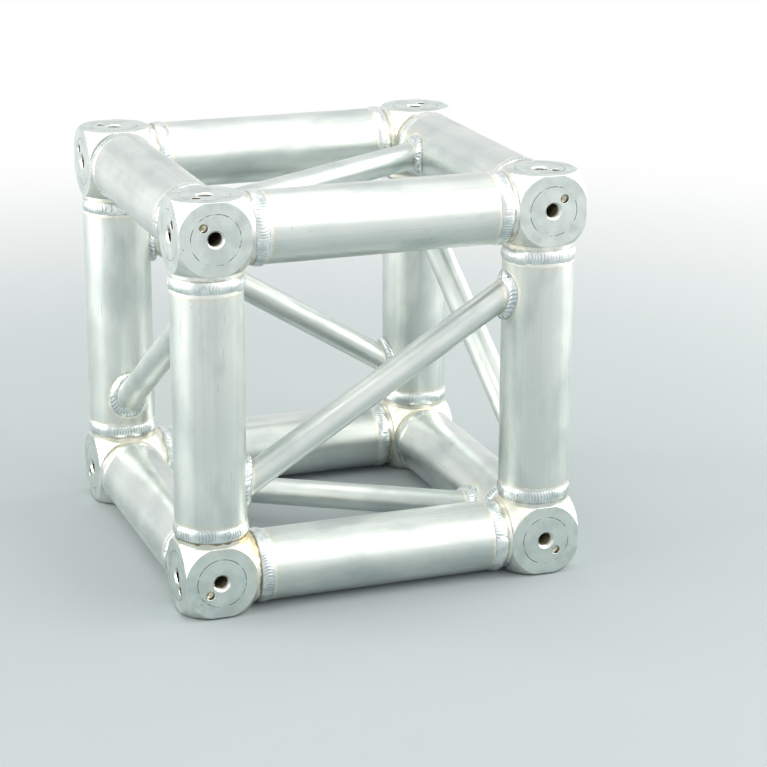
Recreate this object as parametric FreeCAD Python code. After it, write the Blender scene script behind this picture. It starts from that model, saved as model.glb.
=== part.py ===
import FreeCAD, Part
import math
import os
from itertools import product

# Six-way junction cube for 290 mm square truss, in millimetres.
# Origin: the cube's centre, where the six truss axes cross. +Z up, front face towards -Y.

# Main frame
TUBE_SPACING = 240.0            # between the axes of neighbouring main tubes
MAIN_RADIUS = 25.0
MAIN_WALL = 2.0
TUBE_START = 34.0               # from a block's centre to the end of each main tube

# Corner blocks
FLAT_DISTANCE = 25.0            # from a block's centre to each bolting flat
BALL_RADIUS = 35.9              # turned corners between the flats
BLOCK_EDGE_RADIUS = 0.5
NECK_RADIUS = 24.8
NECK_END = 32.0                 # from the block's centre
SPIGOT_RADIUS = 22.9
SPIGOT_END = 40.0

# Holes in each bolting flat
BOLT_RADIUS = 6.0               # M12, at the thread's major diameter
BOLT_DEPTH = 18.0
BOLT_CHAMFER = 0.3
PIN_RADIUS = 3.0
PIN_DEPTH = 4.0
PIN_CHAMFER = 0.3
PIN_OFFSET = 11.5               # from the bolt hole, outwards along the face's diagonal
DRILL_TIP_HEIGHT = 0.6          # height of a drill's cone, as a part of its radius

# Ring weld beads between a block's neck and a tube
BEAD_START = 28.0               # from the block's centre
BEAD_END = 38.5
BEAD_CROWN = 26.2               # radius at the top of the bead

# Diagonal braces
BRACE_RADIUS = 10.0
BRACE_WALL = 2.0
BRACE_RISE = 74.0               # from mid-face to where a brace's line meets a tube's axis
BRACE_BEAD_RADIUS = 14.4        # about the brace
BRACE_BEAD_REACH = 29.2         # about the main tube
BRACE_BEAD_CHAMFER = 2.8

HALF = TUBE_SPACING / 2
OVERSHOOT = 1.0                 # a cutting tool starts this far outside the metal
X_AXIS = FreeCAD.Vector(1, 0, 0)
Y_AXIS = FreeCAD.Vector(0, 1, 0)
Z_AXIS = FreeCAD.Vector(0, 0, 1)
SIDES = {-1: "left", 1: "right"}
DEPTHS = {-1: "front", 1: "rear"}
HEIGHTS = {-1: "bottom", 1: "top"}

# Each brace: its two ends, on the axes of the main tubes that it joins, and their direction.
BRACES = {
    "front": ((-HALF, -HALF, -BRACE_RISE), (HALF, -HALF, BRACE_RISE), Z_AXIS),
    "rear": ((-HALF, HALF, BRACE_RISE), (HALF, HALF, -BRACE_RISE), Z_AXIS),
    "left": ((-HALF, -HALF, BRACE_RISE), (-HALF, HALF, -BRACE_RISE), Z_AXIS),
    "right": ((HALF, -HALF, -BRACE_RISE), (HALF, HALF, BRACE_RISE), Z_AXIS),
    "bottom": ((-HALF, BRACE_RISE, -HALF), (HALF, -BRACE_RISE, -HALF), Y_AXIS),
    "top": ((-HALF, -BRACE_RISE, HALF), (HALF, BRACE_RISE, HALF), Y_AXIS),
}


def export(shape, node):
    if not shape.isValid():
        raise ValueError(node + " is not a valid shape")
    print(node, len(shape.Solids), "solids", round(shape.Volume / 1000, 2), "cm3")
    shape.exportStep("parts/" + node + ".step")


def block_centre(signs):
    return FreeCAD.Vector(*signs) * HALF


def outward_directions(signs):
    """The three axis directions that point away from the cube's centre at this corner."""
    return [axis * sign for axis, sign in zip((X_AXIS, Y_AXIS, Z_AXIS), signs)]


def turned_block(centre):
    """A cube whose corners are turned to a ball, with its edges eased."""
    low_corner = centre - FreeCAD.Vector(1, 1, 1) * FLAT_DISTANCE
    side = 2 * FLAT_DISTANCE
    cube = Part.makeBox(side, side, side, low_corner)
    ball = Part.makeSphere(BALL_RADIUS, centre)
    body = cube.common(ball)
    return body.makeFillet(BLOCK_EDGE_RADIUS, body.Edges)


def blind_hole(mouth, inward, radius, depth, chamfer):
    """A drilled hole with the drill's cone at its end and a chamfered mouth."""
    wall = Part.makeCylinder(radius, depth + OVERSHOOT, mouth - inward * OVERSHOOT, inward)
    tip = Part.makeCone(radius, 0, radius * DRILL_TIP_HEIGHT, mouth + inward * depth, inward)
    flare_height = chamfer + OVERSHOOT
    flare = Part.makeCone(radius + flare_height, radius, flare_height, mouth - inward * OVERSHOOT, inward)
    return wall.fuse([tip, flare])


def neck_and_spigot(centre, inward):
    """The turned neck that the tube butts on, and the spigot that centres it."""
    neck = Part.makeCylinder(NECK_RADIUS, NECK_END, centre, inward)
    spigot = Part.makeCylinder(SPIGOT_RADIUS, SPIGOT_END, centre, inward)
    return neck.fuse(spigot)


def corner_block(signs):
    centre = block_centre(signs)
    outward = outward_directions(signs)
    body = turned_block(centre)
    for direction in outward:
        body = body.fuse(neck_and_spigot(centre, direction * -1))
    for direction in outward:
        mouth = centre + direction * FLAT_DISTANCE
        body = body.cut(blind_hole(mouth, direction * -1, BOLT_RADIUS, BOLT_DEPTH, BOLT_CHAMFER))
        across = [other for other in outward if other != direction]
        pin_mouth = mouth + (across[0] + across[1]) * (PIN_OFFSET / math.sqrt(2))
        body = body.cut(blind_hole(pin_mouth, direction * -1, PIN_RADIUS, PIN_DEPTH, PIN_CHAMFER))
    return body


def ring_bead(centre, inward):
    """A weld bead round a tube: it fills the root gap and crowns over neck and tube."""
    def place(along, radius):
        return FreeCAD.Vector(radius, 0, along)

    root = [
        place(BEAD_END, MAIN_RADIUS),
        place(TUBE_START, MAIN_RADIUS),
        place(TUBE_START, SPIGOT_RADIUS),
        place(NECK_END, SPIGOT_RADIUS),
        place(NECK_END, NECK_RADIUS),
        place(BEAD_START, NECK_RADIUS),
    ]
    middle = (BEAD_START + BEAD_END) / 2
    crown = Part.Arc(root[-1], place(middle, BEAD_CROWN), root[0]).toShape()
    profile = Part.Wire([Part.makePolygon(root), crown])
    ring = Part.Face(profile).revolve(FreeCAD.Vector(), Z_AXIS, 360)
    ring.Placement = FreeCAD.Placement(centre, FreeCAD.Rotation(Z_AXIS, inward))
    return ring


def corner_welds(signs):
    centre = block_centre(signs)
    return Part.makeCompound([ring_bead(centre, direction * -1) for direction in outward_directions(signs)])


def main_tube(middle, direction):
    length = TUBE_SPACING - 2 * TUBE_START
    start = middle - direction * (length / 2)
    outside = Part.makeCylinder(MAIN_RADIUS, length, start, direction)
    inside = Part.makeCylinder(MAIN_RADIUS - MAIN_WALL, length, start, direction)
    return outside.cut(inside)


def tube_envelope(point, direction, radius, brace_direction):
    """A full rod round a main tube's axis, with its seam on the side away from the brace."""
    rod = Part.makeCylinder(radius, TUBE_SPACING)
    turn = FreeCAD.Rotation(brace_direction * -1, FreeCAD.Vector(), direction, "ZXY")
    rod.Placement = FreeCAD.Placement(point - direction * HALF, turn)
    return rod


def brace(start, end, tube_direction):
    """A tube between two main tubes, with both ends cut to their round."""
    along = end - start
    outside = Part.makeCylinder(BRACE_RADIUS, along.Length, start, along)
    inside = Part.makeCylinder(BRACE_RADIUS - BRACE_WALL, along.Length, start, along)
    start_tube = tube_envelope(start, tube_direction, MAIN_RADIUS, along)
    end_tube = tube_envelope(end, tube_direction, MAIN_RADIUS, along * -1)
    return outside.cut([inside, start_tube, end_tube])


def saddle_bead(point, along, tube_direction):
    """A bead in the corner between a brace and the main tube that it lands on."""
    round_brace = Part.makeCylinder(BRACE_BEAD_RADIUS, HALF, point, along)
    round_tube = tube_envelope(point, tube_direction, BRACE_BEAD_REACH, along)
    collar = round_brace.common(round_tube)
    outer_rim = max(collar.Edges, key=lambda edge: edge.Length)
    collar = collar.makeChamfer(BRACE_BEAD_CHAMFER, [outer_rim])
    brace_rod = Part.makeCylinder(BRACE_RADIUS, HALF, point, along)
    tube_rod = tube_envelope(point, tube_direction, MAIN_RADIUS, along)
    return collar.cut([tube_rod, brace_rod])


def brace_welds(start, end, tube_direction):
    along = end - start
    return Part.makeCompound([
        saddle_bead(start, along, tube_direction),
        saddle_bead(end, along * -1, tube_direction),
    ])


def make_corners():
    for signs in product((-1, 1), repeat=3):
        side, depth, height = signs
        place = "_".join((DEPTHS[depth], SIDES[side], HEIGHTS[height]))
        export(corner_block(signs), "corner_block_" + place)
        export(corner_welds(signs), "corner_welds_" + place)


def make_main_tubes():
    for first, second in product((-1, 1), repeat=2):
        cross_place = FreeCAD.Vector(0, first, second) * HALF
        export(main_tube(cross_place, X_AXIS), "cross_tube_" + DEPTHS[first] + "_" + HEIGHTS[second])
        side_place = FreeCAD.Vector(first, 0, second) * HALF
        export(main_tube(side_place, Y_AXIS), "side_tube_" + SIDES[first] + "_" + HEIGHTS[second])
        upright_place = FreeCAD.Vector(first, second, 0) * HALF
        export(main_tube(upright_place, Z_AXIS), "upright_" + DEPTHS[second] + "_" + SIDES[first])


def make_braces():
    for face, (start, end, tube_direction) in BRACES.items():
        ends = (FreeCAD.Vector(*start), FreeCAD.Vector(*end))
        export(brace(*ends, tube_direction), "brace_" + face)
        export(brace_welds(*ends, tube_direction), "brace_welds_" + face)


os.makedirs("parts", exist_ok=True)
make_corners()
make_main_tubes()
make_braces()
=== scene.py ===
import math
import random
from itertools import product

import bmesh
import bpy
from mathutils import Matrix, Vector, noise


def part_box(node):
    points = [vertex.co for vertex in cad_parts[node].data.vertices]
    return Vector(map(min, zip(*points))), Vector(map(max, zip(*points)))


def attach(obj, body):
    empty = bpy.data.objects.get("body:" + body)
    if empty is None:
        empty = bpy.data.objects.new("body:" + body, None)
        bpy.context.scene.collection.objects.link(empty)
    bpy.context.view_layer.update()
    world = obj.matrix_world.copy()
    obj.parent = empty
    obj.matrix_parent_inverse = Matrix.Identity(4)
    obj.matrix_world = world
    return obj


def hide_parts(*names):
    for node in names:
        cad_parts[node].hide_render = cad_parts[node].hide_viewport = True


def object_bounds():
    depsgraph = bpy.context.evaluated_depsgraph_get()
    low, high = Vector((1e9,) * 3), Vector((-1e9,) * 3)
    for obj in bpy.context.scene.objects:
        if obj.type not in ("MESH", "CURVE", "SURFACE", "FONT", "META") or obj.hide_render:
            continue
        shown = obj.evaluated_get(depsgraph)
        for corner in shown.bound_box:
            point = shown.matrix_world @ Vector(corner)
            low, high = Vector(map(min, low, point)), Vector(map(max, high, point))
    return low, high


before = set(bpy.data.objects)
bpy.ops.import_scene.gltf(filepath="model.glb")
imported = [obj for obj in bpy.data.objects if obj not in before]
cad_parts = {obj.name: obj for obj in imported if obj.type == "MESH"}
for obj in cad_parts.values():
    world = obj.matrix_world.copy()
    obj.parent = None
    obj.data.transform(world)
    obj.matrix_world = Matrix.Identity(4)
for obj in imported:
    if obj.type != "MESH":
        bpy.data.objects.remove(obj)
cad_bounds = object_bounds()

# The looks of a six-way junction cube for square truss. Its tubes, braces and corner blocks are the
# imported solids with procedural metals; its rippled weld beads and its bolt threads are made here.

# ---------------------------------------------------------------------------
# Sizes, in metres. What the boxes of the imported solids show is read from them.
# ---------------------------------------------------------------------------
MM = 0.001
AXES = (Vector((1, 0, 0)), Vector((0, 1, 0)), Vector((0, 0, 1)))
SIDES = {-1: "left", 1: "right"}
DEPTHS = {-1: "front", 1: "rear"}
HEIGHTS = {-1: "bottom", 1: "top"}
CORNERS = tuple(product(SIDES, DEPTHS, HEIGHTS))

upright_low, upright_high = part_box("upright_front_right")
block_low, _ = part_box("corner_block_front_left_top")
welds_low, welds_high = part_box("corner_welds_front_left_bottom")
MAIN_RADIUS = (upright_high.x - upright_low.x) / 2
HALF = (upright_high.x + upright_low.x) / 2     # from the cube's centre to a main tube's axis
FLAT_DISTANCE = -block_low.x - HALF             # from a block's centre to its bolting flats
NECK_RADIUS = 24.8 * MM

# Ring beads, between a block's neck and a main tube
BEAD_START = 28.0 * MM                          # from the block's centre
BEAD_END = HALF + welds_high.x
BEAD_CROWN = -welds_low.x - HALF                # radius at the top of the bead
BEAD_ROOT = 1.1 * MM                            # how far it reaches down into the tube's wall

# Braces and the saddle beads at their ends
BRACE_RADIUS = 10.0 * MM
BRACE_RISE = 74.0 * MM                          # from mid-face to where a brace's line meets a tube's axis
LEG_ON_TUBE = 4.7 * MM
LEG_ON_BRACE = 4.4 * MM
ACUTE_STRETCH = 0.4                             # both legs are this much longer on a brace's acute side
SADDLE_BULGE = 1.3 * MM
SADDLE_ROOT = 0.8 * MM                          # how far the bead reaches down into the metal

# Holes in each bolting flat
BOLT_RADIUS = 6.0 * MM
THREAD_CREST = 5.1 * MM                         # radius of the ridges
THREAD_PITCH = 1.75 * MM
PIN_RADIUS = 3.0 * MM
PIN_OFFSET = 11.5 * MM / math.sqrt(2)           # from the bolt hole, along each of the flat's two axes
WITNESS_RADIUS = 17.2 * MM                      # of the dark ring that a bolted neighbour left

# Each bead is a few runs of weld. Places across a run are in half widths of the bead, from -1 to 1.
RING_RUNS = (4, 5)
SADDLE_RUNS = 2
RUN_OVERLAP = 3.0 * MM                          # of one run over the one before it
BEFORE_START = 1.0                              # radians before a run's start that count as before it
RUN_LENGTHS = (0.6, 1.4)                        # relative
RUN_WIDTHS = (0.80, 0.94)
RUN_HEIGHTS = (0.62, 1.0)                       # as parts of the bead's full height
BACKWARDS_CHANCE = 0.35                         # of a run that was laid the other way round
MOST_SHIFT = 0.14                               # of a run's middle line to one side
WAVER = 0.08                                    # of that line along the run
LUMP_HEIGHT = 0.08
SQUARENESS = 2.4                                # of a run's section, where 2 is a parabola
ROUNDED_END = 4.0 * MM                          # length over which a run's end rounds off
CRATER_FROM_END = 4.5 * MM
CRATER_LENGTH = 1.6 * MM
CRATER_WIDTH = 0.45
CRATER_DEPTH = 0.35
CRATER_SHIFT = 0.25                             # at most, to one side
TOE_DEPTH = 0.07 * MM                           # of a bead's edges below the metal beside it

# The ripples on a run, one for each dab of filler
RING_PITCH = 2.1 * MM
SADDLE_PITCH = 2.4 * MM
RIPPLE_DEPTH = 0.22 * MM
RING_RIPPLES = (0.2, 0.6, 0.9, 1.2)             # a run's ripples, from nearly smooth to full depth
SADDLE_RIPPLES = (1.3, 1.7, 2.1)
RIPPLE_LEAD = 1.5 * MM                          # how far a ripple's middle leads its ends
RIPPLE_JITTER = 0.3                             # as a part of the pitch
CALM_LENGTH = 9.0 * MM                          # of the stretches where the ripples fade and return
LEAST_RIPPLE = 0.12
USUAL_RIPPLE = 0.75
RIPPLE_SWING = 1.6

# How finely the new pieces are divided
RING_STEPS = 640
RING_PROFILE = 16
SADDLE_STEPS = 360
SADDLE_PROFILE = 12
THREAD_STEPS = 32
THREAD_TURNS = 8
THREAD_CREASE = 35                              # degrees, past which an edge of a thread looks sharp

# Each brace's two ends, on the axes of the tubes that it joins, and the direction of those tubes.
BRACES = {
    "front": ((-1, -1, -1), (1, -1, 1), AXES[2]),
    "rear": ((-1, 1, 1), (1, 1, -1), AXES[2]),
    "left": ((-1, -1, 1), (-1, 1, -1), AXES[2]),
    "right": ((1, -1, -1), (1, 1, 1), AXES[2]),
    "bottom": ((-1, 1, -1), (1, -1, -1), AXES[1]),
    "top": ((-1, -1, 1), (1, 1, 1), AXES[1]),
}


def corner_name(signs):
    side, depth, height = signs
    return "_".join((DEPTHS[depth], SIDES[side], HEIGHTS[height]))


def brace_line(face):
    """The two points where a brace's line meets the axes of its main tubes, and those tubes' direction."""
    start, end, tube_direction = BRACES[face]
    reach = Vector((HALF,) * 3) - tube_direction * (HALF - BRACE_RISE)
    return Vector(start) * reach, Vector(end) * reach, tube_direction


# ---------------------------------------------------------------------------
# Materials
# ---------------------------------------------------------------------------
# What the eye sees of each finish
OXIDE_WHITE = "#DAE0DD"         # clean mill-finish aluminium, faintly cool
OXIDE_GREY = "#B3BDBB"          # the same metal in its duller die lines
HANDLED_GREY = "#A3B0B1"        # soft dull patches from handling
SCRATCH_GREY = "#747B7C"
ETCHED_WHITE = "#F0F3EF"        # the band that the welding arc cleaned
MACHINED_GREY = "#D5DEDB"       # faced flats
RING_GREY = "#B0BAB8"           # the facing tool's darker rings
TURNED_WHITE = "#E3E5E0"        # ball-turned corners
WORN_GREY = "#BFC9C6"
SMUDGE_GREY = "#98A19E"         # where hands and other parts have rubbed
NICK_DARK = "#4A4C4B"
STRAW_TINT = "#E3D3AC"          # heat tint, wide and pale
BROWN_TINT = "#6E5A30"          # soot and flux stain right at a weld's toe
PIN_HOLE_WARM_REFLECTION = "#C0BEAE"       # painted warm reflection on the pin holes' walls
HOLE_OIL_AND_SHADE = "#7A745A"            # cutting oil, dirt and painted shade deep inside the bolt holes
# the darkest painted shade inside the bolt holes, with oil
HOLE_SHADE_DARK = "#36352B"
BEAD_BRIGHT = "#E8EDEC"
BEAD_BLUE = "#C3CED0"
# painted shade in the ripples' valleys
BEAD_VALLEY_SHADE = "#9CA9AE"
TOE_SHADOW = "#6F7A7D"          # painted shadow of the thin groove where a bead meets the metal beside it
PAPER_GREY = "#A0AAAD"
WHITE = "#FFFFFF"
LAMP_WHITE = "#FFFBF2"

# Roughness of each tube's smoothest patches, and how much rougher its dullest are
MAIN_SATIN = 0.31
BRACE_SATIN = 0.36
SATIN_SPREAD = 0.09

# Settings that several nodes share. A MapRange takes a pattern's two levels and its own two results.
STEP = {"interpolation_type": "SMOOTHSTEP"}
RGB = {"data_type": "RGBA", "output": 2}        # a colour Mix: socket 0 is the share of 7 over 6
LENGTH = {"operation": "LENGTH", "output": "Value"}
DOT = {"operation": "DOT_PRODUCT", "output": "Value"}


def colour(hex_value):
    """An sRGB hex colour as the linear RGBA that a socket takes."""
    channels = [int(hex_value[place:place + 2], 16) / 255 for place in (1, 3, 5)]
    linear = [c / 12.92 if c <= 0.04045 else ((c + 0.055) / 1.055) ** 2.4 for c in channels]
    return (*linear, 1.0)


def add_node(tree, kind, *values, sockets=None, output=0, **settings):
    """Adds a node and gives one of its outputs. Values, each a constant or an output, go to its sockets
    in order, or by name or number."""
    node = tree.nodes.new("ShaderNode" + kind)
    for name, setting in settings.items():
        setattr(node, name, setting)
    wanted = dict(enumerate(values))
    wanted.update(sockets or {})
    for socket, value in wanted.items():
        if isinstance(value, bpy.types.NodeSocket):
            tree.links.new(value, node.inputs[socket])
        else:
            node.inputs[socket].default_value = value
    return node.outputs[output]


def new_metal(name):
    """A metal with the default IOR: the material, its node tree, its shader and object coordinates."""
    material = bpy.data.materials.new(name)
    material.use_nodes = True
    tree = material.node_tree
    shader = tree.nodes["Principled BSDF"]
    shader.inputs["Metallic"].default_value = 1.0
    return material, tree, shader, add_node(tree, "TexCoord", output="Object")


def connect(tree, shader, base, roughness, height, bump_distance):
    """Feeds a shader its colour, roughness and a bump of the given depth in metres."""
    bump = add_node(tree, "Bump", sockets={"Height": height, "Distance": bump_distance, "Strength": 1.0})
    tree.links.new(base, shader.inputs["Base Color"])
    tree.links.new(roughness, shader.inputs["Roughness"])
    tree.links.new(bump, shader.inputs["Normal"])


def distance_from_braces(tree, place):
    """How far a point is from the nearest brace's middle line, which ends on the main tubes' axes."""
    nearest = 1.0
    for face in BRACES:
        start, end, _ = brace_line(face)
        along = (end - start).normalized()
        span = (end - start).length
        arm = add_node(tree, "VectorMath", place, start, operation="SUBTRACT")
        reach = add_node(tree, "VectorMath", arm, along, **DOT)
        reach = add_node(tree, "MapRange", reach, 0.0, span, 0.0, span)     # held between the two ends
        across = add_node(tree, "VectorMath", -along, reach, arm, operation="MULTIPLY_ADD")
        distance = add_node(tree, "VectorMath", across, **LENGTH)
        nearest = add_node(tree, "Math", distance, nearest, operation="MINIMUM")
    return nearest


def toe_on_main_tube(tree, place, direction):
    """How far a point on a main tube is from the toe of the nearest weld; negative under the bead."""
    along = add_node(tree, "VectorMath", place, direction, **DOT)
    along = add_node(tree, "Math", along, operation="ABSOLUTE")
    from_ring = add_node(tree, "Math", HALF - BEAD_END, along, operation="SUBTRACT")
    from_brace = distance_from_braces(tree, place)
    from_brace = add_node(tree, "Math", from_brace, BRACE_RADIUS + LEG_ON_TUBE, operation="SUBTRACT")
    return add_node(tree, "Math", from_ring, from_brace, operation="MINIMUM")


def toe_on_brace(tree, place, face):
    """How far a point on a brace is from the toe of the weld at its nearer end."""
    start, end, tube_direction = brace_line(face)
    nearest = 1.0
    for landing in (start, end):
        arm = add_node(tree, "VectorMath", place, landing, operation="SUBTRACT")
        across = add_node(tree, "VectorMath", arm, Vector((1, 1, 1)) - tube_direction, operation="MULTIPLY")
        distance = add_node(tree, "VectorMath", across, **LENGTH)
        nearest = add_node(tree, "Math", distance, nearest, operation="MINIMUM")
    from_tube = add_node(tree, "Math", nearest, MAIN_RADIUS, operation="SUBTRACT")
    return add_node(tree, "Math", from_tube, LEG_ON_BRACE, operation="SUBTRACT")


def extruded_aluminium(name, direction, satin, toe_distance):
    """Extruded aluminium tube, mill finish: long die lines and duller bands along the tube, handling
    marks, a few scratches and nicks, and by each weld a thin band that the arc etched pale, edged with
    straw tint."""
    material, tree, shader, place = new_metal(name)
    sideways = direction.orthogonal().normalized()
    tube_axes = (sideways, direction.cross(sideways), direction)
    parts = [add_node(tree, "VectorMath", place, axis, **DOT) for axis in tube_axes]

    def streaks(spacing, stretch, detail):
        """Noise drawn out along the tube, in lines about this far apart."""
        slow = add_node(tree, "Math", parts[2], 1 / stretch, operation="MULTIPLY")
        drawn = add_node(tree, "CombineXYZ", parts[0], parts[1], slow)
        return add_node(tree, "TexNoise", drawn, sockets={"Scale": 1 / (2 * spacing), "Detail": detail})

    # the real die lines are finer, and are drawn this coarse so that they show
    die_lines = streaks(spacing=0.6 * MM, stretch=160, detail=2.0)
    bands = streaks(spacing=5.0 * MM, stretch=40, detail=1.0)
    scratches = streaks(spacing=0.40 * MM, stretch=30, detail=1.0)
    smears = streaks(spacing=12.0 * MM, stretch=2.2, detail=4.0)
    patches = add_node(tree, "TexNoise", place, sockets={"Scale": 1 / (30 * MM), "Detail": 3.0})
    cells = add_node(tree, "TexVoronoi", place, sockets={"Scale": 1 / (9 * MM)}, output="Distance")
    stain = add_node(tree, "TexNoise", place, sockets={"Scale": 1 / (4 * MM), "Detail": 3.0})

    # the metal itself: clean, with duller bands, lines and handled patches
    grey = add_node(tree, "MapRange", bands, 0.38, 0.72, 0.0, 0.26, **STEP)
    base = add_node(tree, "Mix", sockets={0: grey, 6: colour(OXIDE_WHITE), 7: colour(OXIDE_GREY)}, **RGB)
    dark_line = add_node(tree, "MapRange", die_lines, 0.52, 0.72, 0.0, 0.24, **STEP)
    base = add_node(tree, "Mix", sockets={0: dark_line, 6: base, 7: colour(OXIDE_GREY)}, **RGB)
    handled = add_node(tree, "MapRange", smears, 0.44, 0.68, 0.0, 0.50, **STEP)
    base = add_node(tree, "Mix", sockets={0: handled, 6: base, 7: colour(HANDLED_GREY)}, **RGB)

    # scratches and nicks, in a few places only
    rare = add_node(tree, "MapRange", patches, 0.56, 0.62, 0.0, 1.0, **STEP)
    scratch = add_node(tree, "MapRange", scratches, 0.69, 0.72, 0.0, 0.40, **STEP)
    nick = add_node(tree, "MapRange", cells, 0.03, 0.07, 0.75, 0.0, **STEP)
    marks = add_node(tree, "Math", scratch, nick, operation="MAXIMUM")
    marks = add_node(tree, "Math", marks, rare, operation="MULTIPLY")
    base = add_node(tree, "Mix", sockets={0: marks, 6: base, 7: colour(SCRATCH_GREY)}, **RGB)

    # by the welds, whose toes wander a little
    from_weld = toe_distance(tree, place)
    ragged = add_node(tree, "MapRange", stain, 0.3, 0.7, -0.7 * MM, 0.7 * MM)
    from_weld = add_node(tree, "Math", from_weld, ragged, operation="ADD")
    straw = add_node(tree, "MapRange", from_weld, 1.2 * MM, 5.0 * MM, 0.22, 0.0, **STEP)
    base = add_node(tree, "Mix", sockets={0: straw, 6: base, 7: colour(STRAW_TINT)}, **RGB)
    etched = add_node(tree, "MapRange", from_weld, 0.3 * MM, 1.2 * MM, 0.60, 0.0, **STEP)
    base = add_node(tree, "Mix", sockets={0: etched, 6: base, 7: colour(ETCHED_WHITE)}, **RGB)

    # handled and etched metal is duller
    roughness = add_node(tree, "MapRange", patches, 0.38, 0.62, satin, satin + SATIN_SPREAD)
    roughness = add_node(tree, "Math", handled, 0.16, roughness, operation="MULTIPLY_ADD")
    roughness = add_node(tree, "Math", etched, 0.12, roughness, operation="MULTIPLY_ADD")
    height = add_node(tree, "Math", die_lines, marks, operation="SUBTRACT")
    connect(tree, shader, base, roughness, height, 0.010 * MM)
    return material


def flats_and_holes(tree, local, reach):
    """Where a point of a block lies: on a flat, how far from that flat's bolt hole, in a bolt hole, and
    in a pin hole."""
    on_flat, from_bolt, in_bolt, in_pin = 0.0, 0.0, 0.0, 0.0
    for outwards, direction in zip(reach, AXES):
        across = Vector((1, 1, 1)) - direction
        this_flat = add_node(tree, "Math", outwards, FLAT_DISTANCE - 0.08 * MM, operation="GREATER_THAN")
        sideways = add_node(tree, "VectorMath", local, across, operation="MULTIPLY")
        radius = add_node(tree, "VectorMath", sideways, **LENGTH)
        on_flat = add_node(tree, "Math", on_flat, this_flat, operation="MAXIMUM")
        from_bolt = add_node(tree, "Math", this_flat, radius, from_bolt, operation="MULTIPLY_ADD")
        pin_arm = add_node(tree, "VectorMath", sideways, across * PIN_OFFSET, operation="SUBTRACT")
        from_pin = add_node(tree, "VectorMath", pin_arm, **LENGTH)
        below = add_node(tree, "Math", outwards, FLAT_DISTANCE - 0.35 * MM, operation="LESS_THAN")
        outer_half = add_node(tree, "Math", outwards, 0.0, operation="GREATER_THAN")
        below = add_node(tree, "Math", below, outer_half, operation="MULTIPLY")
        near_bolt = add_node(tree, "Math", radius, BOLT_RADIUS + 0.1 * MM, operation="LESS_THAN")
        near_pin = add_node(tree, "Math", from_pin, PIN_RADIUS + 0.1 * MM, operation="LESS_THAN")
        in_bolt = add_node(tree, "Math", near_bolt, below, in_bolt, operation="MULTIPLY_ADD")
        in_pin = add_node(tree, "Math", near_pin, below, in_pin, operation="MULTIPLY_ADD")
    return on_flat, from_bolt, in_bolt, in_pin


def witness_ring(tree, place, on_flat, from_bolt):
    """The thin dark ring, broken in places, that a bolted neighbour left round each bolt hole."""
    offset = add_node(tree, "Math", from_bolt, WITNESS_RADIUS, operation="SUBTRACT")
    offset = add_node(tree, "Math", offset, operation="ABSOLUTE")
    ring = add_node(tree, "MapRange", offset, 0.10 * MM, 0.42 * MM, 1.0, 0.0, **STEP)
    gaps = add_node(tree, "TexNoise", place,
                    sockets={"Scale": 1 / (9 * MM), "Detail": 5.0, "Roughness": 0.75})
    gaps = add_node(tree, "MapRange", gaps, 0.45, 0.53, 0.0, 0.9, **STEP)
    ring = add_node(tree, "Math", ring, gaps, operation="MULTIPLY")
    return add_node(tree, "Math", ring, on_flat, operation="MULTIPLY")


def heat_tint(tree, place, reach, dirt, base):
    """Tints a block: pale straw on its inner side, most between two welds, and a thin brown line by each
    weld. The block that was welded last got hottest. Gives the colour and the straw's share."""
    nearest = add_node(tree, "Math", reach[0], reach[1], operation="MINIMUM")
    farther = add_node(tree, "Math", reach[0], reach[1], operation="MAXIMUM")
    second = add_node(tree, "Math", farther, reach[2], operation="MINIMUM")
    second = add_node(tree, "Math", second, nearest, operation="MAXIMUM")
    nearest = add_node(tree, "Math", nearest, reach[2], operation="MINIMUM")
    ragged = add_node(tree, "Math", dirt, -5 * MM, nearest, operation="MULTIPLY_ADD")
    last_block = Vector((-HALF,) * 3)
    from_last = add_node(tree, "VectorMath", place, last_block, operation="DISTANCE", output="Value")

    between_welds = add_node(tree, "MapRange", second, -20 * MM, -8 * MM, 0.80, 0.14, **STEP)
    straw = add_node(tree, "MapRange", ragged, -28.0 * MM, -19.0 * MM, 1.0, 0.0, **STEP)
    straw = add_node(tree, "Math", straw, between_welds, operation="MULTIPLY")
    hot = add_node(tree, "MapRange", from_last, 45 * MM, 170 * MM, 1.0, 0.25, **STEP)
    straw = add_node(tree, "Math", straw, hot, operation="MULTIPLY")
    base = add_node(tree, "Mix", sockets={0: straw, 6: base, 7: colour(STRAW_TINT)}, **RGB)
    scorched = add_node(tree, "MapRange", from_last, 45 * MM, 170 * MM, 0.85, 0.40, **STEP)
    brown = add_node(tree, "MapRange", ragged, -30.6 * MM, -30.0 * MM, scorched, 0.0, **STEP)
    base = add_node(tree, "Mix", sockets={0: brown, 6: base, 7: colour(BROWN_TINT)}, **RGB)
    return base, straw


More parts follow.
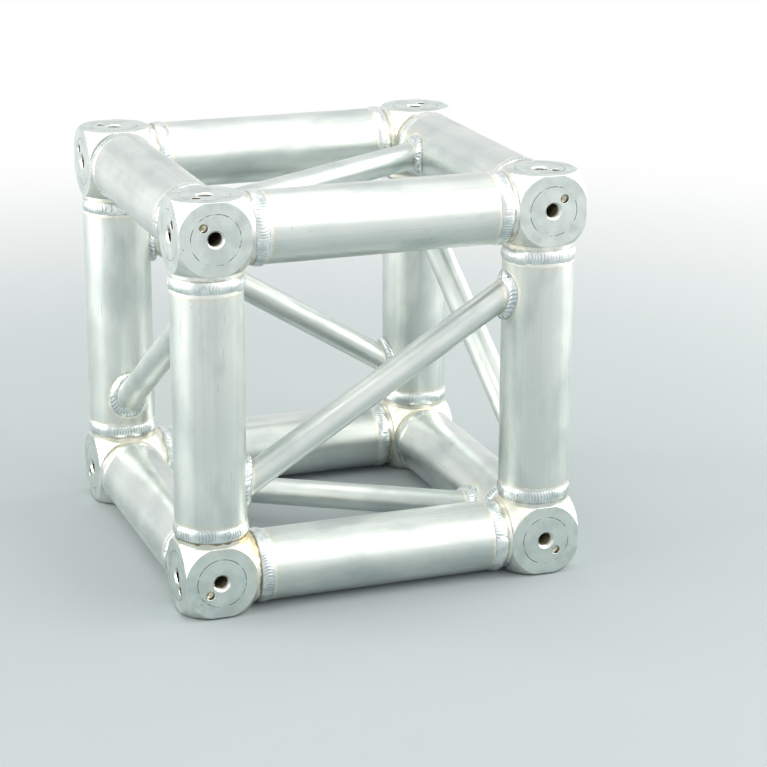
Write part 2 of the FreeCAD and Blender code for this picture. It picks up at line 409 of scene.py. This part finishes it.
def turned_block_aluminium(name):
    """Aluminium block, ball-turned and faced: bright turned corners, grey satin flats with fine facing
    rings and a broken dark witness ring, a brown line and warm tint towards the welds, pin holes with a
    painted warm reflection, and bolt holes in painted shade."""
    material, tree, shader, place = new_metal(name)
    folded = add_node(tree, "VectorMath", place, operation="ABSOLUTE")
    # outwards from the block's own centre
    local = add_node(tree, "VectorMath", folded, (HALF,) * 3, operation="SUBTRACT")
    reach = [add_node(tree, "SeparateXYZ", local, output=axis) for axis in range(3)]
    on_flat, from_bolt, in_bolt, in_pin = flats_and_holes(tree, local, reach)
    dirt = add_node(tree, "TexNoise", place, sockets={"Scale": 1 / (6 * MM), "Detail": 4.0})
    blotches = add_node(tree, "TexNoise", place, sockets={"Scale": 1 / (16 * MM), "Detail": 4.0})
    smudges = add_node(tree, "TexNoise", place,
                       sockets={"Scale": 1 / (24 * MM), "Detail": 6.0, "Roughness": 0.7})
    cells = add_node(tree, "TexVoronoi", place, sockets={"Scale": 1 / (11 * MM)}, output="Distance")
    # the facing tool's rings, drawn coarser than its real feed so that they show
    rings = add_node(tree, "TexNoise", noise_dimensions="1D",
                     sockets={"W": from_bolt, "Scale": 1 / (1.1 * MM), "Detail": 2.0})

    base = add_node(tree, "Mix",
                    sockets={0: on_flat, 6: colour(TURNED_WHITE), 7: colour(MACHINED_GREY)}, **RGB)
    ring_mark = add_node(tree, "MapRange", rings, 0.50, 0.70, 0.0, 0.22, **STEP)
    ring_mark = add_node(tree, "Math", ring_mark, on_flat, operation="MULTIPLY")
    base = add_node(tree, "Mix", sockets={0: ring_mark, 6: base, 7: colour(RING_GREY)}, **RGB)
    worn = add_node(tree, "MapRange", blotches, 0.42, 0.62, 0.0, 0.70, **STEP)
    base = add_node(tree, "Mix", sockets={0: worn, 6: base, 7: colour(WORN_GREY)}, **RGB)
    smudge = add_node(tree, "MapRange", smudges, 0.56, 0.72, 0.0, 0.36, **STEP)
    base = add_node(tree, "Mix", sockets={0: smudge, 6: base, 7: colour(SMUDGE_GREY)}, **RGB)
    witness = witness_ring(tree, place, on_flat, from_bolt)
    nick = add_node(tree, "MapRange", cells, 0.025, 0.06, 0.6, 0.0, **STEP)
    marks = add_node(tree, "Math", witness, nick, operation="MAXIMUM")
    base = add_node(tree, "Mix", sockets={0: marks, 6: base, 7: colour(NICK_DARK)}, **RGB)
    base, straw = heat_tint(tree, place, reach, dirt, base)
    # the pin holes' walls, in a painted warm reflection
    base = add_node(tree, "Mix", sockets={0: in_pin, 6: base, 7: colour(PIN_HOLE_WARM_REFLECTION)}, **RGB)
    # the bolt holes' walls, in painted shade
    base = add_node(tree, "Mix", sockets={0: in_bolt, 6: base, 7: colour(HOLE_SHADE_DARK)}, **RGB)

    # tinted metal is duller, and a drilled wall is smoother
    roughness = add_node(tree, "MapRange", dirt, 0.35, 0.65, 0.30, 0.44)
    roughness = add_node(tree, "Math", straw, 0.12, roughness, operation="MULTIPLY_ADD")
    roughness = add_node(tree, "Math", in_pin, -0.12, roughness, operation="MULTIPLY_ADD")
    turning = add_node(tree, "Math", rings, on_flat, operation="MULTIPLY")
    height = add_node(tree, "Math", turning, marks, operation="SUBTRACT")
    connect(tree, shader, base, roughness, height, 0.012 * MM)
    return material


def weld_aluminium(name):
    """TIG weld bead, as welded: satin silver ripples with bluish patches and painted shade in their
    valleys, a painted shadow line at the toes, and broken brown soot along the block's toe."""
    material, tree, shader, place = new_metal(name)
    across = add_node(tree, "Attribute", attribute_name="across", output="Fac")
    ripple = add_node(tree, "Attribute", attribute_name="ripple", output="Fac")
    crown = add_node(tree, "Attribute", attribute_name="crown", output="Fac")
    cloud = add_node(tree, "TexNoise", place, sockets={"Scale": 1 / (9 * MM), "Detail": 3.0})
    stain = add_node(tree, "TexNoise", place, sockets={"Scale": 1 / (5 * MM), "Detail": 4.0})
    # the frosty grain of the bead, drawn coarser than it is so that it shows
    grain = add_node(tree, "TexNoise", place, sockets={"Scale": 1 / (1.2 * MM), "Detail": 2.0})

    blue = add_node(tree, "MapRange", cloud, 0.46, 0.64, 0.0, 0.80, **STEP)
    base = add_node(tree, "Mix", sockets={0: blue, 6: colour(BEAD_BRIGHT), 7: colour(BEAD_BLUE)}, **RGB)
    # painted shade, darker down in each ripple's valley
    valley_shade = add_node(tree, "MapRange", ripple, 0.25, 1.0, 0.7, 0.0, **STEP)
    base = add_node(tree, "Mix", sockets={0: valley_shade, 6: base, 7: colour(BEAD_VALLEY_SHADE)}, **RGB)
    bare_edge = add_node(tree, "MapRange", crown, 0.01, 0.08, 1.0, 0.0, **STEP)
    base = add_node(tree, "Mix", sockets={0: bare_edge, 6: base, 7: colour(OXIDE_WHITE)}, **RGB)
    # a painted shadow line just inside each edge of the bead
    toe = add_node(tree, "MapRange", crown, 0.06, 0.26, 0.65, 0.0, **STEP)
    toe = add_node(tree, "Math", toe, bare_edge, operation="SUBTRACT", use_clamp=True)
    base = add_node(tree, "Mix", sockets={0: toe, 6: base, 7: colour(TOE_SHADOW)}, **RGB)
    soot = add_node(tree, "Math", stain, 0.9, across, operation="MULTIPLY_ADD")
    brown = add_node(tree, "MapRange", soot, -0.64, -0.54, 0.8, 0.0, **STEP)
    base = add_node(tree, "Mix", sockets={0: brown, 6: base, 7: colour(BROWN_TINT)}, **RGB)

    roughness = add_node(tree, "MapRange", cloud, 0.38, 0.62, 0.26, 0.38)
    roughness = add_node(tree, "Math", bare_edge, 0.14, roughness, operation="MULTIPLY_ADD")
    connect(tree, shader, base, roughness, grain, 0.012 * MM)
    return material


def tapped_aluminium(name):
    """Cut thread in aluminium: bright flanks at the mouth, dark with oil and painted shade further in."""
    material, tree, shader, place = new_metal(name)
    folded = add_node(tree, "VectorMath", place, operation="ABSOLUTE")
    reach = [add_node(tree, "SeparateXYZ", folded, output=axis) for axis in range(3)]
    outermost = add_node(tree, "Math", reach[0], reach[1], operation="MAXIMUM")
    outermost = add_node(tree, "Math", outermost, reach[2], operation="MAXIMUM")
    mouth = HALF + FLAT_DISTANCE
    dirt = add_node(tree, "TexNoise", place, sockets={"Scale": 1 / (2.5 * MM), "Detail": 3.0})
    # painted shade with oil, darkening the thread further in from the mouth
    oil_and_shade_depth = add_node(tree, "MapRange", outermost, mouth - 6.5 * MM, mouth - 2.0 * MM, 1.0, 0.0, **STEP)
    base = add_node(tree, "Mix", sockets={0: dirt, 6: colour(HOLE_OIL_AND_SHADE), 7: colour(HOLE_SHADE_DARK)}, **RGB)
    base = add_node(tree, "Mix", sockets={0: oil_and_shade_depth, 6: colour(TURNED_WHITE), 7: base}, **RGB)
    roughness = add_node(tree, "MapRange", dirt, 0.3, 0.7, 0.28, 0.42)
    connect(tree, shader, base, roughness, dirt, 0.01 * MM)
    return material


# ---------------------------------------------------------------------------
# Pieces
# ---------------------------------------------------------------------------
def facing(centre, direction):
    """The matrix that takes a shape made about +Z at the origin to a place and direction."""
    return Matrix.Translation(centre) @ direction.to_track_quat("Z", "Y").to_matrix().to_4x4()


def finish_piece(shape, name, material):
    """Makes a closed shape a piece of the object: smooth, on its body, with its finish."""
    bmesh.ops.recalc_face_normals(shape, faces=shape.faces)
    mesh = bpy.data.meshes.new(name)
    shape.to_mesh(mesh)
    shape.free()
    mesh.shade_smooth()
    mesh.materials.append(material)
    piece = bpy.data.objects.new(name, mesh)
    bpy.context.scene.collection.objects.link(piece)
    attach(piece, "root")
    return piece


def spun_blank(points, steps, angle=2 * math.pi, rise=0.0):
    """A mesh made by spinning a closed profile of (radius, height, across) points about +Z, or along a
    helix that rises. Each vertex keeps its "across", from -1 to 1 over the outside of the profile, and
    has a "ripple" and a "crown" for a bead's surface."""
    shape = bmesh.new()
    for layer in ("across", "ripple", "crown"):
        shape.verts.layers.float.new(layer)
    across_layer = shape.verts.layers.float["across"]
    ring = []
    for radius, height, across in points:
        vertex = shape.verts.new((radius, 0, height))
        vertex[across_layer] = across
        ring.append(vertex)
    edges = [shape.edges.new(pair) for pair in zip(ring, ring[1:] + ring[:1])]
    bmesh.ops.spin(shape, geom=ring + edges, cent=(0, 0, 0), axis=(0, 0, 1), dvec=(0, 0, rise / steps),
                   angle=angle, steps=steps, use_merge=not rise)
    bmesh.ops.holes_fill(shape, edges=[edge for edge in shape.edges if edge.is_boundary])
    blank = bpy.data.meshes.new("blank")
    shape.to_mesh(blank)
    shape.free()
    return blank


def add_copy(shape, blank):
    """Adds a copy of a blank to a shape and returns its vertices."""
    count_before = len(shape.verts)
    shape.from_mesh(blank)
    shape.verts.ensure_lookup_table()
    return shape.verts[count_before:]


class WeldRun:
    """One run of weld, between two angles round a joint: how wide and high it lies and how it ripples."""

    def __init__(self, dice, start, end, ripples):
        self.start = start
        self.length = end - start
        self.backwards = dice.random() < BACKWARDS_CHANCE
        self.shift = dice.uniform(-MOST_SHIFT, MOST_SHIFT)
        self.width = dice.uniform(*RUN_WIDTHS)
        self.height = dice.uniform(*RUN_HEIGHTS)
        self.ripple = dice.choice(ripples)
        self.crater = dice.uniform(-CRATER_SHIFT, CRATER_SHIFT)

    def surface(self, angle, across, round_radius, pitch, seed):
        """The run's relative height, from 0 to 1, and its ripple, or None where it doesn't reach."""
        turned = (angle - self.start + BEFORE_START) % (2 * math.pi) - BEFORE_START
        walked = turned * round_radius + RUN_OVERLAP
        left = self.length * round_radius + 2 * RUN_OVERLAP - walked
        if walked < 0 or left < 0:
            return None

        # the section: a flattened arch, which narrows to nothing at the run's two ends
        rounding = min(1.0, walked / ROUNDED_END, left / ROUNDED_END)
        rounding = math.sqrt(rounding * (2 - rounding))
        waver = WAVER * noise.noise(Vector((turned * 4.0, 1.0, seed)))
        place = (across - self.shift - waver) / (self.width * rounding + 0.01)
        arch = max(0.0, 1 - abs(place) ** SQUARENESS)

        # the ripples: sharp valleys that bow forwards, in the direction in which the run was laid
        if self.backwards:
            walked, left = left, walked
        jitter = RIPPLE_JITTER * noise.noise(Vector((turned * 5.0, across, seed)))
        phase = (walked + RIPPLE_LEAD * place * place) / pitch + jitter
        calm = noise.noise(Vector((turned * round_radius / CALM_LENGTH, 7.0, seed)))
        strength = self.ripple * min(1.0, max(LEAST_RIPPLE, USUAL_RIPPLE + RIPPLE_SWING * calm))
        ripple = 1 - strength * (1 - abs(math.sin(math.pi * phase))) * math.sqrt(arch)

        # the height: lower at the ends, lumpy, and with a crater where the arc was broken off
        crater_along = (left - CRATER_FROM_END) / CRATER_LENGTH
        crater_across = (place - self.crater) / CRATER_WIDTH
        crater = CRATER_DEPTH * math.exp(-crater_along ** 2 - crater_across ** 2)
        lumps = LUMP_HEIGHT * noise.noise(Vector((turned * 9.0, across * 1.4, seed + 3.0)))
        return (self.height * rounding ** 0.3 - crater + lumps) * arch, ripple


def weld_runs(dice, count, ripples):
    """Runs of weld that follow each other once round, each with one of these strengths of ripple."""
    lengths = [dice.uniform(*RUN_LENGTHS) for _ in range(count)]
    angle = dice.uniform(0, 2 * math.pi)
    runs = []
    for length in lengths:
        turn = 2 * math.pi * length / sum(lengths)
        runs.append(WeldRun(dice, angle, angle + turn, ripples))
        angle += turn
    return runs


def weld_surface(runs, angle, across, round_radius, pitch, seed):
    """The height and ripple of a bead: those of the run that stands highest there."""
    found = (run.surface(angle, across, round_radius, pitch, seed) for run in runs)
    return max((result for result in found if result), default=(0.0, 1.0))


def ring_blank():
    """A ring bead before it is rippled: round outside, and a root inside the tube's wall."""
    middle = (BEAD_START + BEAD_END) / 2
    half_width = (BEAD_END - BEAD_START) / 2
    places = [math.sin(math.pi / 2 * (2 * step / RING_PROFILE - 1)) for step in range(RING_PROFILE + 1)]
    profile = [(MAIN_RADIUS, middle + half_width * across, across) for across in places]
    profile += [(MAIN_RADIUS - BEAD_ROOT, middle + half_width * across, across) for across in (0.9, -0.9)]
    return spun_blank(profile, RING_STEPS)


def ring_bead(shape, blank, centre, inward, seed):
    """A rippled bead round a tube, from a block's neck on to the tube."""
    dice = random.Random(seed)
    runs = weld_runs(dice, dice.choice(RING_RUNS), RING_RIPPLES)
    fresh = add_copy(shape, blank)
    across_layer = shape.verts.layers.float["across"]
    ripple_layer = shape.verts.layers.float["ripple"]
    crown_layer = shape.verts.layers.float["crown"]
    for vertex in fresh:
        radius = math.hypot(vertex.co.x, vertex.co.y)
        if radius < MAIN_RADIUS - BEAD_ROOT / 2:
            continue
        across = vertex[across_layer]
        angle = math.atan2(vertex.co.y, vertex.co.x)
        height, ripple = weld_surface(runs, angle, across, MAIN_RADIUS, RING_PITCH, seed)
        toe = NECK_RADIUS + (MAIN_RADIUS - NECK_RADIUS) * (across + 1) / 2 - TOE_DEPTH
        rise = (BEAD_CROWN - toe) * min(height, 1.0) - RIPPLE_DEPTH * (1 - ripple) * min(height * 2, 1.0)
        vertex.co.x *= (toe + rise) / radius
        vertex.co.y *= (toe + rise) / radius
        vertex[ripple_layer] = ripple
        vertex[crown_layer] = height
    bmesh.ops.transform(shape, matrix=facing(centre, inward), verts=fresh)


def saddle_blank():
    """A brace's bead before it is shaped: a strip round the brace with a root inside the metal."""
    places = [2 * step / SADDLE_PROFILE - 1 for step in range(SADDLE_PROFILE + 1)]
    profile = [(BRACE_RADIUS + LEG_ON_TUBE / 2, 0.0, across) for across in places]
    profile.append((BRACE_RADIUS - SADDLE_ROOT, -SADDLE_ROOT, 0.0))
    return spun_blank(profile, SADDLE_STEPS)


def saddle_bead(shape, blank, end, along, tube_direction, seed):
    """A rippled bead in the corner between a brace and the main tube that it lands on."""
    dice = random.Random(seed)
    runs = weld_runs(dice, SADDLE_RUNS, SADDLE_RIPPLES)
    middle_radius = BRACE_RADIUS + LEG_ON_TUBE / 2
    fresh = add_copy(shape, blank)
    across_layer = shape.verts.layers.float["across"]
    ripple_layer = shape.verts.layers.float["ripple"]
    crown_layer = shape.verts.layers.float["crown"]
    cosine = tube_direction.dot(along)
    sideways = (tube_direction - along * cosine).normalized()
    sine = tube_direction.dot(sideways)
    acute_side = math.copysign(1, cosine)
    for vertex in fresh:
        radius = math.hypot(vertex.co.x, vertex.co.y)
        angle = math.atan2(vertex.co.y, vertex.co.x)
        height = vertex.co.z
        if radius > BRACE_RADIUS:
            across = vertex[across_layer]
            bead, ripple = weld_surface(runs, angle, across, middle_radius, SADDLE_PITCH, seed)
            share = (across + 1) / 2
            stretch = 1 + ACUTE_STRETCH * max(0.0, acute_side * math.cos(angle))
            bulge = SADDLE_BULGE * (1.5 * bead - 0.2) - RIPPLE_DEPTH * (1 - ripple) * min(bead * 2, 1.0)
            bulge *= 0.7                # the bead leans at 45 degrees, half outwards and half along
            radius = BRACE_RADIUS + LEG_ON_TUBE * stretch * (1 - share) - TOE_DEPTH * share + bulge
            height = LEG_ON_BRACE * stretch * share - TOE_DEPTH * (1 - share) + bulge
            vertex[ripple_layer] = ripple
            vertex[crown_layer] = bead
        x = radius * math.cos(angle)
        y = radius * math.sin(angle)
        landing = (cosine * x + math.sqrt(MAIN_RADIUS ** 2 - y * y)) / sine
        vertex.co = (x, y, landing + height)
    turned = Matrix((sideways, along.cross(sideways), along)).transposed().to_4x4()
    bmesh.ops.transform(shape, matrix=Matrix.Translation(end) @ turned, verts=fresh)


def thread_blanks():
    """The countersunk lead-in and the ridges of a thread, which stand in from a bolt hole's wall."""
    wall = BOLT_RADIUS + 0.06 * MM      # just inside the metal, so that no gap shows
    lead_in = [(wall, 0.22 * MM, 0), (THREAD_CREST, 1.15 * MM, 0), (wall, 1.30 * MM, 0)]
    start = 1.0 * MM
    ridge = [(wall, start, 0),
             (THREAD_CREST, start + 0.44 * THREAD_PITCH, 0),
             (THREAD_CREST, start + 0.56 * THREAD_PITCH, 0),
             (wall, start + THREAD_PITCH, 0)]
    helix = spun_blank(ridge, THREAD_STEPS * THREAD_TURNS, angle=2 * math.pi * THREAD_TURNS,
                       rise=THREAD_PITCH * THREAD_TURNS)
    return spun_blank(lead_in, THREAD_STEPS), helix


def make_corner_pieces(bead_material, thread_material):
    """For each corner block, a piece with its three ring beads and a piece with its three bolt threads."""
    bead_blank = ring_blank()
    thread_parts = thread_blanks()
    for number, signs in enumerate(CORNERS):
        centre = Vector(signs) * HALF
        beads = bmesh.new()
        threads = bmesh.new()
        for axis, (direction, sign) in enumerate(zip(AXES, signs)):
            ring_bead(beads, bead_blank, centre, direction * -sign, 3 * number + axis)
            mouth = facing(centre + direction * sign * FLAT_DISTANCE, direction * -sign)
            for blank in thread_parts:
                bmesh.ops.transform(threads, matrix=mouth, verts=add_copy(threads, blank))
        where = corner_name(signs)
        piece = finish_piece(beads, "rippled_welds_" + where, bead_material)
        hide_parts("corner_welds_" + where)
        piece = finish_piece(threads, "bolt_threads_" + where, thread_material)
        piece.data.set_sharp_from_angle(angle=math.radians(THREAD_CREASE))
    for blank in (bead_blank, *thread_parts):
        bpy.data.meshes.remove(blank)


def make_brace_welds(material):
    """For each brace, a piece with its two saddle beads."""
    blank = saddle_blank()
    first_seed = 100            # past the ring beads' own
    for number, face in enumerate(BRACES):
        start, end, tube_direction = brace_line(face)
        along = (end - start).normalized()
        seed = first_seed + 2 * number
        beads = bmesh.new()
        saddle_bead(beads, blank, start, along, tube_direction, seed)
        saddle_bead(beads, blank, end, -along, tube_direction, seed + 1)
        piece = finish_piece(beads, "rippled_brace_welds_" + face, material)
        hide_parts("brace_welds_" + face)
    bpy.data.meshes.remove(blank)


def dress(node, material):
    """Gives a CAD node a better material."""
    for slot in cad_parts[node].material_slots:
        slot.material = material


def dress_blocks():
    material = turned_block_aluminium("turned_and_faced_aluminium")
    for signs in CORNERS:
        dress("corner_block_" + corner_name(signs), material)


def dress_main_tubes():
    """One finish for each direction of tube, because the die lines run along it."""
    kinds = (("cross_tube", AXES[0], product(("front", "rear"), ("bottom", "top"))),
             ("side_tube", AXES[1], product(("left", "right"), ("bottom", "top"))),
             ("upright", AXES[2], product(("front", "rear"), ("left", "right"))))
    for kind, direction, places in kinds:
        material = extruded_aluminium("extruded_aluminium_" + kind, direction, MAIN_SATIN,
                                      lambda tree, place: toe_on_main_tube(tree, place, direction))
        for place in places:
            dress("_".join((kind, *place)), material)


def dress_braces():
    for face in BRACES:
        start, end, _ = brace_line(face)
        along = (end - start).normalized()
        material = extruded_aluminium("extruded_aluminium_brace_" + face, along, BRACE_SATIN,
                                      lambda tree, place: toe_on_brace(tree, place, face))
        dress("brace_" + face, material)


# ---------------------------------------------------------------------------
# Stage: pale floor, soft lights, camera
# ---------------------------------------------------------------------------
FLOOR_RADIUS = 12.0
FADE_START = 0.40               # from the cube's centre to where the floor starts to turn white
FADE_END = 1.4
ROOM_LIGHT = 0.70               # strength of the light that the room gives
ROOM_SEEN = 0.92                # and of what is seen of it, straight on or in the metal


def seen_or_mirrored(tree):
    """1 for what the eye sees, straight on, in metal or through glass, and 0 for what only gives light."""
    seen = 0.0
    for ray in ("Is Camera Ray", "Is Glossy Ray", "Is Transmission Ray"):
        seen = add_node(tree, "Math", add_node(tree, "LightPath", output=ray), seen, operation="MAXIMUM")
    return seen


def make_floor():
    """Matt pale paper: it keeps the object's shadow, and further out it fades into the white room."""
    shape = bmesh.new()
    bmesh.ops.create_circle(shape, cap_ends=True, segments=96, radius=FLOOR_RADIUS)
    bmesh.ops.translate(shape, verts=shape.verts, vec=(0, 0, cad_bounds[0][2]))
    mesh = bpy.data.meshes.new("floor")
    shape.to_mesh(mesh)
    shape.free()
    material = bpy.data.materials.new("matt_pale_paper")
    material.use_nodes = True
    tree = material.node_tree
    paper = tree.nodes["Principled BSDF"]
    paper.inputs["Base Color"].default_value = colour(PAPER_GREY)
    paper.inputs["Roughness"].default_value = 0.9
    distance = add_node(tree, "VectorMath", add_node(tree, "TexCoord", output="Object"), **LENGTH)
    far = add_node(tree, "MapRange", distance, FADE_START, FADE_END, 0.0, 1.0, **STEP)
    share = add_node(tree, "Math", far, seen_or_mirrored(tree), operation="MULTIPLY")
    white = add_node(tree, "Emission", colour(WHITE), 1.0)
    surface = add_node(tree, "MixShader", share, paper.outputs[0], white)
    tree.links.new(surface, tree.nodes["Material Output"].inputs["Surface"])
    mesh.materials.append(material)
    floor = bpy.data.objects.new("floor", mesh)
    bpy.context.scene.collection.objects.link(floor)


def soft_light(name, place, size, brightness):
    """A square soft box that looks at the middle of the object; a brightness of 1 renders as white."""
    lamp = bpy.data.lights.new(name, "AREA")
    lamp.shape = "SQUARE"
    lamp.size = size
    lamp.energy = brightness * math.pi * size * size
    lamp.color = colour(LAMP_WHITE)[:3]
    light = bpy.data.objects.new(name, lamp)
    light.matrix_world = facing(Vector(place), Vector(place))
    bpy.context.scene.collection.objects.link(light)


def light_room():
    """A white room with four large soft boxes that are brighter than it."""
    world = bpy.data.worlds.new("soft_room")
    world.use_nodes = True
    tree = world.node_tree
    backdrop = tree.nodes["Background"]
    backdrop.inputs["Color"].default_value = colour(WHITE)
    strength = add_node(tree, "MapRange", seen_or_mirrored(tree), 0.0, 1.0, ROOM_LIGHT, ROOM_SEEN)
    tree.links.new(strength, backdrop.inputs["Strength"])
    bpy.context.scene.world = world
    soft_light("key", (1.3, -1.6, 1.3), 2.1, 1.8)
    soft_light("left_side", (-1.9, 0.27, 0.40), 1.9, 4.6)
    soft_light("right_side", (1.9, 0.0, 0.40), 1.9, 4.6)
    soft_light("overhead", (-0.4, 0.0, 1.9), 2.2, 1.25)


def aim_camera():
    """A long lens, above the cube and to the left of its front."""
    place = Vector((-0.553, -1.627, 0.506))
    heading = 0.355             # in radians, turned to the right of +Y
    pitch = -0.304
    roll = 0.003
    lens = bpy.data.cameras.new("camera")
    lens.lens = 114.5
    lens.sensor_width = 36.0
    lens.clip_start = 0.05
    camera = bpy.data.objects.new("camera", lens)
    turn = (Matrix.Rotation(-heading, 4, "Z") @ Matrix.Rotation(math.pi / 2 + pitch, 4, "X")
            @ Matrix.Rotation(roll, 4, "Z"))
    camera.matrix_world = Matrix.Translation(place) @ turn
    bpy.context.scene.collection.objects.link(camera)
    bpy.context.scene.camera = camera
    bpy.context.scene.view_settings.view_transform = "Standard"


aim_camera()
light_room()
make_floor()
bead_material = weld_aluminium("tig_weld_bead_aluminium")
make_corner_pieces(bead_material, tapped_aluminium("tapped_thread_aluminium"))
make_brace_welds(bead_material)
dress_main_tubes()
dress_braces()
dress_blocks()
